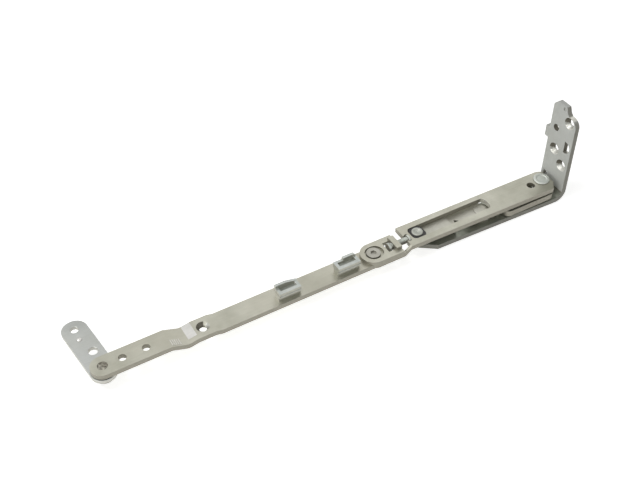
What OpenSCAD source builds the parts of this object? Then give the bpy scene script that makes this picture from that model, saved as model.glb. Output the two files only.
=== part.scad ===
/* [Sheet steel] */
// Thickness of every pressed plate
sheet_t = 4; // [3:0.1:4.5]
// Thickness of the slip washer under the arm head
slip_t = 1.5; // [0.6:0.1:1.8]
// Thickness of the washer under the support lever
lever_washer_t = 2; // [0.6:0.1:2.4]

/* [Corner bracket] */
// Width of the leg and the flange
bracket_w = 26; // [22:0.5:30]
// Distance from the main pivot to the far edge of the bracket
bracket_far = 11.75; // [9.5:0.25:13]
// Length of the leg, from the main pivot to its free end
leg_len = 118; // [90:1:125]
// Corner radius at the far corner of the leg's free end
leg_corner_r = 8; // [2:0.5:10]
// Length of the slanted cut at the near corner of the leg's free end
leg_cut = 12; // [2:0.2:20]
// Taper of the leg's near edge, from the bend to that cut
leg_taper = 3.4; // [0:0.2:5]
// Distance from the main pivot to the inner face of the flange
flange_x = 10.2; // [9.9:0.1:14]
// Inside radius of the bend
bend_r = 5; // [3:0.25:6]
// Height of the flange tip above the underside of the leg
flange_h = 82.1; // [80:0.1:110]
// Height of the near shoulder beside the flange tip
shoulder_h = 75.5; // [70:0.5:78]
// Width of the flange tip
tip_w = 9.9; // [6:0.1:12]
// Diameter of the screw holes in the flange
flange_hole_d = 5.2; // [4:0.1:6]
// Diameter of the countersinks in the flange
flange_csk_d = 9.8; // [7:0.1:11]
// Distance between the two screw holes in line
flange_hole_gap = 40; // [30:1:42]
// Height of the lower screw hole of that line
flange_hole_z = 30.5; // [24:0.5:32]
// Diameter of the plain hole in the flange
plain_hole_d = 5.7; // [4:0.1:6.5]
// Height of the plain hole
plain_hole_z = 59.5; // [54:0.5:62]
// Radius of the half-round hole in the flange
half_hole_r = 5.2; // [3:0.1:5.4]
// Height of the half-round hole
half_hole_z = 48.4; // [44:0.2:50]
// Height of the lower edge of the locating lug
lug_z = 46; // [35:0.5:55]
// Width of the locating lug on the far edge of the flange
lug_w = 3.8; // [2:0.1:6]
// Height of that lug
lug_h = 9.5; // [5:0.5:14]

/* [Arm head] */
// Distance from the main pivot to the left end of the head
head_len = 131; // [129:0.5:150]
// Distance from the slot's axis to the near edge of the head at its nose
head_near = 13.5; // [12:0.5:16]
// Distance from the slot's axis to the near edge of the head at its left end
head_left_near = 11.1; // [11:0.1:12]
// Distance from the slot's axis to the far edge of the head at its nose
head_far = 9.7; // [8.5:0.1:9.8]
// Distance from the slot's axis to the far edge of the head at its left end
head_left_far = 11.4; // [9.5:0.1:12]
// Distance from the main pivot to the blunt right end of the head
head_nose = 6.5; // [6:0.1:8]
// Diameter of the access hole beside the main pivot
access_hole_d = 6.5; // [4:0.1:8]
// Distance from the main pivot to that hole
access_hole_x = 11.7; // [11:0.1:20]
// Diameter of the main pivot rivet's shank
pivot_d = 8; // [6:0.1:9]
// Diameter of the main pivot rivet's head
pivot_head_d = 13.4; // [10:0.1:15]
// Diameter of the slip washer
slip_d = 18; // [14:0.5:19]

/* [Support lever] */
// Distance between the two pivots of the lever, on a head of the standard length
lever_c = 59.5; // [56:0.5:62]
// Widest opening angle of the arm
open_angle = 58; // [40:1:58]
// Length of the slot beyond the slider block at that angle
slot_over = 3.5; // [0:0.5:5]
// Radius of the lever's end at its fixed pivot
lever_big_r = 8; // [7:0.1:8.5]
// Radius of the lever's end at the slider
lever_small_r = 6.8; // [5:0.1:7]
// Shank diameter of the lever's fixed rivet
lever_rivet_d = 7; // [5:0.1:8]
// Side length of the square slider block
block_w = 11.6; // [10:0.1:11.8]
// Corner radius of the slider block
block_r = 3.2; // [1:0.1:4]
// Height of the slider block
block_h = 3.75; // [3:0.05:4.2]
// Length of the shoe under the block, from the slider's rivet towards the main pivot
shoe_len = 30; // [20:1:36]
// Width of the shoe
shoe_w = 17; // [12:0.5:18]
// Shank diameter of the slider's rivet
slider_rivet_d = 5; // [4:0.1:6]
// Head diameter of the slider's rivet
slider_head_d = 9; // [7:0.1:9.6]

/* [Arm bar] */
// Distance between the main pivot and the swivel pivot
stay_len = 369; // [355:1:420]
// Width of the bar
bar_w = 17; // [16:0.5:19]
// Offset of the bar's centre line from the slot's axis
bar_y = -1.75; // [-2.5:0.25:-1]
// Rise of the left end of the bar over the swivel plate
joggle = 4.3; // [4.2:0.1:5]
// Length of the raised left end, from the swivel pivot
raised_len = 46; // [40:0.5:52]
// Length of the slope between the raised end and the bar
joggle_run = 11; // [8:0.5:14]
// Height of the pressed pad round the countersunk hole
pad_h = 1.3; // [0.5:0.1:2]
// Distance from the swivel pivot to the countersunk hole
pad_x = 72.1; // [70:0.1:80]
// Diameter of the countersunk hole
pad_hole_d = 5.6; // [4:0.1:6]
// Diameter of its countersink
pad_csk_d = 9.4; // [7:0.1:11]
// Diameter of the two plain holes in the raised end
bar_hole_d = 5.75; // [4:0.05:6.5]
// Distance from the swivel pivot to the first plain hole
bar_hole_x = 13.9; // [12:0.1:16]
// Distance between the two plain holes
bar_hole_gap = 16.9; // [14:0.1:19]

/* [Side adjuster] */
// Travel of the side adjuster each way
adjust_travel = 1.5; // [0.5:0.1:1.8]
// Length of the open gap between the housing and the head
neck_gap = 7; // [6:0.5:9]
// Length of the adjuster housing
housing_len = 31; // [30:0.5:36]
// Thickness of the housing's top
housing_t = 3; // [2.4:0.1:3.4]
// Thickness of the housing's skirts
skirt_t = 1.6; // [1:0.1:2.5]
// Depth of the skirts below the top of the bar
skirt_drop = 3; // [1:0.1:3.8]
// Width of the window over the screw's collar
window_w = 10; // [7.4:0.1:11]
// Length of that window
window_len = 5.6; // [5.6:0.1:8]
// Length of the raised bridge that holds the screw's thread
bridge_len = 4.6; // [3:0.1:6]
// Width of the raised bridge
bridge_w = 13; // [9:0.5:15]
// Outside diameter of the adjusting screw's thread
screw_d = 5; // [4:0.1:5.2]
// Diameter of the screw's collar and of its button end
collar_d = 6.8; // [6:0.1:7]
// Length of the screw's collar
collar_len = 2.2; // [1.4:0.1:2.3]
// Thickness of the button end
button_t = 1.6; // [1:0.1:1.8]
// Width of the prong that runs from the head into the housing
prong_w = 2.2; // [1.6:0.1:3]
// Head diameter of the clamp screw
clamp_head_d = 10.8; // [8:0.1:11.4]
// Shank diameter of the clamp screw
clamp_d = 6; // [4:0.1:6.5]
// Width across the flats of its hexagon socket
socket_af = 4; // [3:0.1:5]
// Diameter of the counterbore round its head
clamp_bore_d = 12.9; // [11.6:0.1:13.4]
// Distance by which the counterbore is drawn out towards the window
clamp_draw = 1.5; // [0.5:0.1:2]
// Distance from the housing's round end to the clamp screw
clamp_x = 10.2; // [9:0.1:12]

/* [Catches] */
// Length of the left catch
catch_left_len = 17.4; // [15:0.2:24]
// Length of the right catch
catch_right_len = 18.2; // [15:0.2:20]
// Distance from the housing's round end to the left end of the left catch
catch_left_x = 71.4; // [62:0.2:80]
// Distance from the housing's round end to the left end of the right catch
catch_right_x = 23.2; // [22:0.2:28]
// Width of a catch over its lips
catch_w = 8.8; // [8:0.1:9.4]
// Height of the neck under the lips
catch_neck_h = 3.6; // [3.2:0.1:5]
// Height of a catch without its ridge
catch_h = 8; // [6.5:0.1:10]
// Rise of the ridge along the far lip
catch_ridge = 2.2; // [1:0.1:4]
// Overhang of each lip
catch_lip = 1.4; // [0.5:0.1:1.8]
// Diameter of the rivets that hold the catches
catch_rivet_d = 3; // [2:0.1:3.4]

/* [Swivel plate] */
// Thickness of the swivel plate
swivel_t = 3; // [2.5:0.1:4]
// Width of the swivel plate
swivel_w = 18.5; // [17:0.5:22]
// Length of the swivel plate beyond its pivot
swivel_len = 51.5; // [48:0.5:58]
// Angle of the swivel plate at rest, from square to the bar
swivel_angle = 5.5; // [0:0.5:10]
// Corner radius at the free end of the swivel plate
swivel_corner_r = 9; // [3:0.5:9]
// Diameter of the outer hole
swivel_outer_d = 5.6; // [4:0.1:7]
// Distance from the pivot to the outer hole
swivel_outer_x = 43; // [40:0.1:45]
// Diameter of the inner hole
swivel_inner_d = 6.6; // [4:0.1:8]
// Distance from the pivot to the inner hole
swivel_inner_x = 18.7; // [17:0.1:24]
// Shank diameter of the swivel rivet
swivel_rivet_d = 7; // [5:0.1:8]
// Diameter of the washer under the swivel plate
swivel_washer_d = 16.4; // [13:0.1:18]
// Thickness of that washer
swivel_washer_t = 1; // [0.6:0.1:1.4]
// Diameter of the swivel rivet's lower head
swivel_foot_d = 15; // [11:0.1:16]
// Thickness of that head
swivel_foot_t = 1.5; // [1:0.1:2]

/* [Clearances] */
// Radial clearance of each rivet and screw in its hole
fit_gap = 0.05; // [0.02:0.01:0.09]
// Clearance between sliding plates and between moving pieces
run_gap = 0.3; // [0.2:0.05:0.4]

/* [Hidden] */
$fn = 64;
overcut = 1;

// Levels above the underside of the leg
lever_z = sheet_t + lever_washer_t;
head_z = lever_z + sheet_t + slip_t;
bar_z = head_z - sheet_t;
bar_top = bar_z + sheet_t;
head_top = head_z + sheet_t;
packing_t = head_z - slip_t - sheet_t;
lever_top = lever_z + sheet_t;
screw_z = head_z + sheet_t / 2;

// Bracket
bracket_near = bracket_far - bracket_w;
bend_x = flange_x - bend_r;
bend_z = sheet_t + bend_r;
shoulder_r = 7;
hole_inset = 7;
far_shoulder_h = shoulder_h + 2.7;
tip_far = bracket_far - 3.7;
tip_near = tip_far - tip_w;
tip_foot = 2;
tip_pocket_d = 3.2;
tip_pocket_depth = 0.8;
tip_pocket_in = 1.6;
tip_pocket_drop = 2.8;
leg_cut_rise = 12;
relief_inset = 6.5;
relief_rise = 1.5;
relief_w = 4;
relief_h = 5;
half_hole_flat = 0.5;
plain_inset = 6.8;
third_inset = 9;

// Lever and slot: a longer head makes the lever longer by half as much
head_std = 131;
pivot_gap = lever_c + (head_len - head_std) / 2;
slider_x = -2 * pivot_gap;
slot_w = block_w + 2 * fit_gap + run_gap;
slot_left = slider_x - block_w / 2 - run_gap - fit_gap;
slot_right = slider_x * cos(open_angle) + block_w / 2 + run_gap + fit_gap + slot_over;
slot_r = block_r + run_gap / 2;
waist_x = slider_x + 0.55 * pivot_gap;
waist_in = 2;
waist_out = 14;
waist_y = 1;
nose_x = 1.5;
pivot_head_t = 1.2;
rivet_head_t = 0.7;
lever_head_d = lever_rivet_d + 4;
socket_depth = 1.5;
shoe_z = lever_top + fit_gap;
shoe_t = slip_t - 4 * fit_gap;
shoe_back = 7;
shoe_r = 4;
block_z = shoe_z + shoe_t;
block_top = block_z + block_h;

// Packing plate, kept clear of the lever at its widest angle
lever_reach = lever_big_r / sin(2 * open_angle) - head_near / tan(2 * open_angle);
packing_left = -pivot_gap + max(lever_big_r, lever_reach) + run_gap;
packing_corner_r = 5;
packing_foot_t = 1.2;
packing_foot_in = 1.6;
access_hole_y = -1.4;

// Bar and adjuster
swivel_x = -stay_len;
housing_right = -head_len - neck_gap;
housing_left = housing_right - housing_len;
housing_w = bar_w + 2 * (skirt_t + fit_gap);
housing_top = bar_top + housing_t;
bridge_cover = 1;
bridge_floor = 0.7;
bridge_top = screw_z + screw_d / 2 + bridge_cover;
bridge_drop = screw_z - screw_d / 2 - bridge_floor;
window_right = housing_right - bridge_len;
window_left = window_right - window_len;
collar_x = (window_left + window_right - collar_len) / 2;
prong_end = window_left + adjust_travel + run_gap;
bar_right = prong_end - 2 * adjust_travel;
prong_slope_x = housing_right + adjust_travel + run_gap + fit_gap;
notch_mouth = 1.5;
button_gap = 0.2;
notch_depth = button_t + 2 * button_gap;
button_x = -head_len + notch_mouth + button_gap;
clamp_web = 1.2;
clamp_pos = housing_left + clamp_x;
clamp_proud = 0.4;
clamp_top = bar_top + housing_t + clamp_proud;
catch_offset = 6.5;
catch_y = bar_y - catch_offset;
catch_rivet_grip = 3;
ridge_t = 2.2;
pocket_wall = 2.4;
pocket_front = 2.8;
pocket_floor = 2.2;
left_ridge = [0, 8.2];
right_ridge = [7.2, 9.2];
pad_top_half = 6.5;
pad_foot_left = 13;
pad_foot_right = 11;

// Swivel
swivel_z = bar_z + joggle - swivel_t - run_gap;
swivel_top = bar_top + joggle;
swivel_bottom = swivel_z - swivel_washer_t;
inner_hole_y = -1.9;

// Rectangle from corner to corner with round corners
module round_rect(low, high, r) {
    translate([low.x + r, low.y])
        square([high.x - low.x - 2 * r, high.y - low.y]);
    translate([low.x, low.y + r])
        square([high.x - low.x, high.y - low.y - 2 * r]);
    for (x = [low.x + r, high.x - r], y = [low.y + r, high.y - r])
        translate([x, y]) circle(r);
}

// Plate with a plan outline, between two heights
module plate(z, t) {
    translate([0, 0, z]) linear_extrude(t) children();
}

// Upright hole through everything at a place
module hole(x, y, d) {
    translate([x, y, -overcut]) cylinder(d = d, h = head_top + joggle + 2 * overcut);
}

// Cone that widens to its full diameter at height z
module countersink(x, y, z, d, hole_d) {
    translate([x, y, z - (d - hole_d) / 2])
        cylinder(d1 = hole_d, d2 = d, h = (d - hole_d) / 2);
    translate([x, y, z]) cylinder(d = d, h = overcut);
}

// Sheet that follows a side view, given as [x, height of the underside], over a plan outline
module bent_sheet(side) {
    under = [for (p = side) p];
    over = [for (i = [len(side) - 1:-1:0]) [side[i].x, side[i].y + sheet_t]];
    intersection() {
        translate([0, stay_len, 0]) rotate([90, 0, 0])
            linear_extrude(2 * stay_len) polygon(concat(under, over));
        plate(-overcut, head_top + joggle + 2 * overcut) children();
    }
}

// Headed rivet: shank, upper head and a lower end that is flush
module rivet(x, y, z_low, z_seat, d, head_d, head_t) {
    translate([x, y, z_low]) cylinder(d = d, h = z_seat - z_low);
    translate([x, y, z_seat]) cylinder(d1 = head_d, d2 = head_d - head_t, h = head_t);
}

// Outline of the flange, drawn with y across and z up
module flange_outline() {
    difference() {
        union() {
            translate([bracket_near, bend_z])
                square([bracket_w, shoulder_h - shoulder_r - bend_z]);
            translate([bracket_near + shoulder_r, shoulder_h - shoulder_r]) circle(shoulder_r);
            polygon([
                [bracket_near + shoulder_r, bend_z], [bracket_far, bend_z], [bracket_far, far_shoulder_h],
                [tip_far, flange_h], [tip_near, flange_h],
                [tip_near - tip_foot, shoulder_h + tip_foot], [tip_near - 2 * tip_foot, shoulder_h],
                [bracket_near + shoulder_r, shoulder_h]
            ]);
            translate([bracket_far - overcut, lug_z]) square([lug_w + overcut, lug_h]);
        }
        // round-backed hole with a flat on its far side
        translate([bracket_near + hole_inset, half_hole_z]) intersection() {
            circle(half_hole_r);
            translate([-half_hole_r, -half_hole_r]) square([half_hole_r + half_hole_flat, 2 * half_hole_r]);
        }
        translate([bracket_far - relief_inset, bend_z + relief_rise]) square([relief_w, relief_h]);
        translate([bracket_far - plain_inset, plain_hole_z]) circle(d = plain_hole_d);
    }
}

// Countersunk screw hole through the flange, its cone on the inner face
module flange_screw_hole(y, z) {
    translate([flange_x - overcut, y, z]) rotate([0, 90, 0]) {
        cylinder(d = flange_hole_d, h = sheet_t + 2 * overcut);
        cylinder(d = flange_csk_d, h = overcut);
        translate([0, 0, overcut])
            cylinder(d1 = flange_csk_d, d2 = flange_hole_d, h = (flange_csk_d - flange_hole_d) / 2);
    }
}

// Plan of the leg: tapered near edge, with a round far corner and a slanted near corner at its free end
module leg_outline() {
    polygon([
        [-leg_len, bracket_near + leg_cut_rise], [leg_cut - leg_len, bracket_near + leg_taper],
        [bend_x, bracket_near], [bend_x, bracket_far],
        [leg_corner_r - leg_len, bracket_far], [-leg_len, bracket_far - leg_corner_r]
    ]);
    translate([leg_corner_r - leg_len, bracket_far - leg_corner_r]) circle(leg_corner_r);
}

// Leg and bend of the bracket, up to the foot of its flange
module corner_bracket() {
    color("#b6b8b4") difference() {
        union() {
            plate(0, sheet_t) leg_outline();
            translate([bend_x, bracket_far, bend_z]) rotate([90, 0, 0]) rotate([0, 0, -90])
                rotate_extrude(angle = 90) translate([bend_r, 0]) square([sheet_t, bracket_w]);
        }
        hole(0, 0, pivot_d + 2 * fit_gap);
        hole(-pivot_gap, 0, lever_rivet_d + 2 * fit_gap);
    }
}

// Upright side of the same bracket, which leaves its inside corner open
module bracket_flange() {
    color("#b6b8b4") difference() {
        translate([flange_x, 0, 0]) rotate([90, 0, 90]) linear_extrude(sheet_t) flange_outline();
        for (z = [flange_hole_z, flange_hole_z + flange_hole_gap])
            flange_screw_hole(bracket_near + hole_inset, z);
        flange_screw_hole(bracket_far - third_inset, flange_hole_z + flange_hole_gap / 4);
        translate([flange_x - overcut, tip_near + tip_pocket_in, flange_h - tip_pocket_drop])
            rotate([0, 90, 0]) cylinder(d = tip_pocket_d, h = tip_pocket_depth + overcut);
    }
}

// Plate between leg and head, on a narrower foot that leaves a gap under its rim
module packing_plate() {
    low = [packing_left, -head_near];
    high = [head_nose - bend_r / 2, head_far];
    inset = [packing_foot_in, packing_foot_in];
    color("#aeb0a8") difference() {
        union() {
            plate(sheet_t, packing_foot_t) round_rect(low + inset, high - inset, packing_corner_r);
            plate(sheet_t + packing_foot_t, packing_t - packing_foot_t)
                round_rect(low, high, packing_corner_r);
        }
        hole(0, 0, pivot_d + 2 * fit_gap);
    }
}

module slip_washer() {
    color("#8d8f88") difference() {
        translate([0, 0, head_z - slip_t]) cylinder(d = slip_d, h = slip_t);
        hole(0, 0, pivot_d + 2 * fit_gap);
    }
}

module pivot_rivet() {
    color("#bfc3bb") rivet(0, 0, 0, head_top + fit_gap, pivot_d, pivot_head_d, pivot_head_t);
}

module lever_washer() {
    color("#8d8f88") difference() {
        translate([-pivot_gap, 0, sheet_t]) cylinder(r = lever_big_r, h = lever_washer_t);
        hole(-pivot_gap, 0, lever_rivet_d + 2 * fit_gap);
    }
}

module lever_rivet() {
    color("#bfc3bb")
        rivet(-pivot_gap, 0, 0, lever_top, lever_rivet_d, lever_head_d, rivet_head_t);
}

module support_lever() {
    color("#a9aaa3") difference() {
        plate(lever_z, sheet_t) {
            translate([-pivot_gap, 0]) circle(lever_big_r);
            translate([slider_x, 0]) circle(lever_small_r);
            polygon([
                [slider_x, -lever_small_r], [waist_x, -lever_small_r], [waist_x + waist_in, waist_y],
                [waist_x + waist_out, -lever_big_r], [-pivot_gap, -lever_big_r],
                [-pivot_gap, lever_big_r], [slider_x, lever_small_r]
            ]);
        }
        hole(-pivot_gap, 0, lever_rivet_d + 2 * fit_gap);
        hole(slider_x, 0, slider_rivet_d + 2 * fit_gap);
    }
}

module slider_rivet() {
    color("#c4c6c0") rivet(slider_x, 0, lever_z, block_top + fit_gap, slider_rivet_d, slider_head_d,
        rivet_head_t);
}

module slider_block() {
    color("#22211f") difference() {
        translate([slider_x, 0, block_z]) linear_extrude(block_h)
            round_rect([-block_w / 2, -block_w / 2], [block_w / 2, block_w / 2], block_r);
        hole(slider_x, 0, slider_rivet_d + 2 * fit_gap);
    }
}

// Guide plate under the block, which rides on the underside of the head
module slide_shoe() {
    color("#9fa09a") difference() {
        translate([slider_x, 0, shoe_z]) linear_extrude(shoe_t)
            round_rect([-shoe_back, -shoe_w / 2], [shoe_len, shoe_w / 2], shoe_r);
        hole(slider_x, 0, slider_rivet_d + 2 * fit_gap);
    }
}

// Plan of the head: blunt nose, round far corner, sloped near corner and one prong at the left
module head_outline() {
    intersection() {
        translate([-head_len, -head_near]) square([head_len + head_nose, head_near + head_left_far]);
        union() {
            circle(head_far);
            polygon([
                [-head_len, -head_left_near], [nose_x, -head_near], [head_nose, -head_near / 2],
                [head_nose, 0], [0, head_far], [-head_len, head_left_far]
            ]);
        }
    }
    translate([prong_end, -head_left_near]) square([-head_len - prong_end + overcut, prong_w]);
}

module arm_head() {
    color("#b4b5ad") difference() {
        bent_sheet([
            [prong_end, bar_z], [prong_slope_x, bar_z], [-head_len, head_z], [head_nose, head_z]
        ]) head_outline();
        plate(-overcut, head_top + 2 * overcut) {
            round_rect([slot_left, -slot_w / 2], [slot_right, slot_w / 2], slot_r);
            translate([-head_len - overcut, bar_y - screw_d / 2 - run_gap])
                square([notch_mouth + 2 * overcut, screw_d + 2 * run_gap]);
            translate([-head_len + notch_mouth, bar_y - collar_d / 2 - run_gap])
                square([notch_depth, collar_d + 2 * run_gap]);
        }
        hole(0, 0, pivot_d + 2 * fit_gap);
        hole(-access_hole_x, access_hole_y, access_hole_d);
    }
}

module arm_bar() {
    pad_pos = swivel_x + pad_x;
    low_x = swivel_x + raised_len + joggle_run;
    color("#b1b2a8") difference() {
        bent_sheet([
            [swivel_x - bar_w, bar_z + joggle], [swivel_x + raised_len, bar_z + joggle],
            [low_x, bar_z], [pad_pos - pad_foot_left, bar_z],
            [pad_pos - pad_top_half, bar_z + pad_h], [pad_pos + pad_top_half, bar_z + pad_h],
            [pad_pos + pad_foot_right, bar_z], [bar_right, bar_z]
        ]) {
            translate([swivel_x, bar_y]) circle(d = bar_w);
            translate([swivel_x, bar_y - bar_w / 2]) square([bar_right - swivel_x, bar_w]);
        }
        hole(swivel_x, bar_y, swivel_rivet_d + 2 * fit_gap);
        for (i = [0, 1])
            hole(swivel_x + bar_hole_x + i * bar_hole_gap, bar_y, bar_hole_d);
        hole(pad_pos, bar_y, pad_hole_d);
        countersink(pad_pos, bar_y, bar_top + pad_h, pad_csk_d, pad_hole_d);
        hole(clamp_pos, bar_y, clamp_d + 2 * fit_gap);
        catch_rivet_places() cylinder(d = catch_rivet_d + 2 * fit_gap, h = 2 * head_top, center = true);
    }
}

module adjuster_housing() {
    bridge_mid = housing_right - bridge_len / 2;
    color("#b0b1a8") difference() {
        union() {
            plate(bar_top - skirt_drop, housing_t + skirt_drop) {
                translate([housing_left + housing_w / 2, bar_y]) circle(d = housing_w);
                translate([housing_left + housing_w / 2, bar_y - housing_w / 2])
                    square([housing_len - housing_w / 2, housing_w]);
            }
            translate([window_right, bar_y - bridge_w / 2, bar_top])
                cube([bridge_len, bridge_w, bridge_top - bar_top]);
        }
        difference() {
            translate([housing_left - overcut, bar_y - bar_w / 2 - fit_gap, 0])
                cube([housing_len + 2 * overcut, bar_w + 2 * fit_gap, bar_top]);
            translate([window_right, bar_y - window_w / 2 + run_gap / 2, bridge_drop])
                cube([bridge_len, window_w - run_gap, bar_top]);
        }
        // the near skirt makes room inside for the head's prong
        translate([prong_end - adjust_travel - run_gap, -head_left_near - 2 * fit_gap, 0])
            cube([housing_len, prong_w + run_gap + 2 * fit_gap, bar_top]);
        plate(bar_top - overcut, head_top) translate([window_left, bar_y - window_w / 2])
            square([window_len, window_w]);
        translate([bridge_mid, bar_y, screw_z]) rotate([0, 90, 0])
            cylinder(d = screw_d + 2 * fit_gap, h = bridge_len + 2 * overcut, center = true);
        hole(clamp_pos, bar_y, clamp_d + 2 * fit_gap);
        for (draw = [0, clamp_draw])
            translate([clamp_pos + draw, bar_y, bar_top + clamp_web])
                cylinder(d = clamp_bore_d, h = housing_t);
    }
}

module clamp_screw() {
    seat = bar_top + clamp_web;
    color("#bcbdb6") difference() {
        union() {
            translate([clamp_pos, bar_y, bar_z]) cylinder(d = clamp_d, h = seat - bar_z);
            translate([clamp_pos, bar_y, seat]) cylinder(d = clamp_head_d, h = clamp_top - seat);
        }
        translate([clamp_pos, bar_y, clamp_top - socket_depth])
            cylinder(d = socket_af / cos(30), h = socket_depth + overcut, $fn = 6);
    }
}

module adjusting_screw() {
    button_end = button_x + button_t;
    color("#a8aaa4") translate([0, bar_y, screw_z]) rotate([0, 90, 0]) {
        translate([0, 0, collar_x]) cylinder(d = collar_d, h = collar_len);
        translate([0, 0, collar_x]) cylinder(d = screw_d, h = button_end - collar_x);
        translate([0, 0, button_x]) cylinder(d = collar_d, h = button_t);
    }
}

// Catch: a T-shaped block with a pocket in its top and a ridge, given as [start, length], on its far lip
module catch(x, length, ridge) {
    ridge_top = catch_h + catch_ridge;
    difference() {
        translate([x, catch_y, bar_top]) {
            rotate([90, 0, 90]) linear_extrude(length) polygon([
                [catch_lip, 0], [catch_w - catch_lip, 0], [catch_w - catch_lip, catch_neck_h],
                [catch_w, catch_neck_h], [catch_w, catch_h], [0, catch_h], [0, catch_neck_h],
                [catch_lip, catch_neck_h]
            ]);
            translate([0, catch_w, 0]) rotate([90, 0, 0]) linear_extrude(ridge_t) polygon([
                [ridge[0], catch_neck_h], [ridge[0], ridge_top], [ridge[0] + ridge[1], ridge_top],
                [length, catch_h], [length, catch_neck_h]
            ]);
        }
        translate([x + pocket_wall, catch_y + pocket_front, bar_top + catch_neck_h + pocket_floor])
            cube([length - 2 * pocket_wall, catch_w - ridge_t - pocket_front, catch_h]);
        catch_rivet_places() cylinder(d = catch_rivet_d + 2 * fit_gap, h = bar_top + catch_rivet_grip);
    }
}

module catch_left() {
    color("#b7bbb6") catch(housing_left - catch_left_x, catch_left_len, left_ridge);
}

module catch_right() {
    color("#b7bbb6") catch(housing_left - catch_right_x, catch_right_len, right_ridge);
}

// Places of the rivets, two under each catch
module catch_rivet_places() {
    catches = [[catch_left_x, catch_left_len], [catch_right_x, catch_right_len]];
    spots = [for (c = catches, share = [0.25, 0.75]) housing_left - c.x + share * c.y];
    for (x = spots)
        translate([x, catch_y + catch_w / 2, 0]) children();
}

module catch_rivets() {
    color("#a9aaa3") catch_rivet_places() translate([0, 0, bar_z])
        cylinder(d = catch_rivet_d, h = sheet_t + catch_rivet_grip);
}

module swivel_plate() {
    color("#b9bab7") translate([swivel_x, bar_y, 0]) rotate([0, 0, 90 + swivel_angle]) difference() {
        plate(swivel_z, swivel_t) {
            circle(d = swivel_w);
            translate([0, -swivel_w / 2]) square([swivel_len - swivel_corner_r, swivel_w]);
            round_rect([0, -swivel_w / 2], [swivel_len, swivel_w / 2], swivel_corner_r);
        }
        hole(0, 0, swivel_rivet_d + 2 * fit_gap);
        hole(swivel_outer_x, 0, swivel_outer_d);
        hole(swivel_inner_x, inner_hole_y, swivel_inner_d);
    }
}

module swivel_washer() {
    color("#2b2a28") difference() {
        translate([swivel_x, bar_y, swivel_bottom]) cylinder(d = swivel_washer_d, h = swivel_washer_t);
        hole(swivel_x, bar_y, swivel_rivet_d + 2 * fit_gap);
    }
}

module swivel_rivet() {
    color("#bfc3bb") translate([swivel_x, bar_y, swivel_bottom - swivel_foot_t]) {
        cylinder(d = swivel_foot_d, h = swivel_foot_t);
        cylinder(d = swivel_rivet_d, h = swivel_top - swivel_bottom + swivel_foot_t);
    }
}

corner_bracket();
bracket_flange();
packing_plate();
slip_washer();
pivot_rivet();
lever_washer();
lever_rivet();
support_lever();
slider_rivet();
slider_block();
slide_shoe();
arm_head();
arm_bar();
adjuster_housing();
clamp_screw();
adjusting_screw();
catch_left();
catch_right();
catch_rivets();
swivel_plate();
swivel_washer();
swivel_rivet();
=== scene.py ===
"""Tilt-turn window stay: finishes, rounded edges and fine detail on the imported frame."""
import logging
import math
from collections.abc import Callable, Iterable, Iterator
from contextlib import contextmanager
from dataclasses import dataclass, field
from enum import Enum

import bpy
from mathutils import Euler, Matrix, Vector


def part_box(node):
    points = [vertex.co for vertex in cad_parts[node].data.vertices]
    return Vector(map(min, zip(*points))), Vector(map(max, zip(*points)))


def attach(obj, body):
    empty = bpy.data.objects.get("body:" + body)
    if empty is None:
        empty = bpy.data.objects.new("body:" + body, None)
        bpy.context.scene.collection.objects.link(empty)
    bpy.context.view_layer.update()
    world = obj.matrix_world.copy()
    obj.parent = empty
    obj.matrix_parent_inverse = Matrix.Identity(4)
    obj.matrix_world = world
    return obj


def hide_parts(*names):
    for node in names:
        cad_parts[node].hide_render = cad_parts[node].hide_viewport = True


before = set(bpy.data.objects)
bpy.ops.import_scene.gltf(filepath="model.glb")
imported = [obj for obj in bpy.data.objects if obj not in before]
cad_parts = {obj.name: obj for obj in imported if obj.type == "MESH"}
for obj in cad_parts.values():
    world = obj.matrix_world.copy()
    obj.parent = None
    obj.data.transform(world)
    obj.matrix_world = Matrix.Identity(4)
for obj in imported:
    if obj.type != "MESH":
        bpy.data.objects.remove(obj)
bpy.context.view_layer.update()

LOG = logging.getLogger("window_stay")
MM = 0.001
# A face lies square to an axis when its normal has more than this share along it
SQUARE = 0.99


class Slot(str, Enum):
    """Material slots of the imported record."""

    ZINC_PLATE = "zinc_plate"
    BRACKET_ZINC = "bracket_zinc"
    RIVET_STEEL = "rivet_steel"
    CAST_CATCH = "cast_catch"
    BLACK_ACETAL = "black_acetal"


class Body(str, Enum):
    """Rigid bodies of the stay."""

    BRACKET = "bracket"
    ARM = "arm"
    LEVER = "lever"
    SLIDER = "slider"
    BAR = "bar"
    ADJUSTER = "adjuster"
    SWIVEL = "swivel"


def linear(code: str) -> tuple[float, float, float, float]:
    """Turn an sRGB hex colour into linear RGBA.

    Args:
        code: Colour such as "#b4b5ad".

    Returns:
        Linear red, green, blue and an alpha of 1.
    """
    channels = [int(code[i:i + 2], 16) / 255 for i in (1, 3, 5)]
    red, green, blue = (c / 12.92 if c <= 0.04045 else ((c + 0.055) / 1.055) ** 2.4 for c in channels)
    return red, green, blue, 1.0


def new_material(name: str) -> bpy.types.Material:
    """Make a material with an empty node tree.

    Args:
        name: Name of the material.

    Returns:
        The material.
    """
    material = bpy.data.materials.new(name)
    material.use_nodes = True
    material.node_tree.nodes.clear()
    return material


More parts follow.
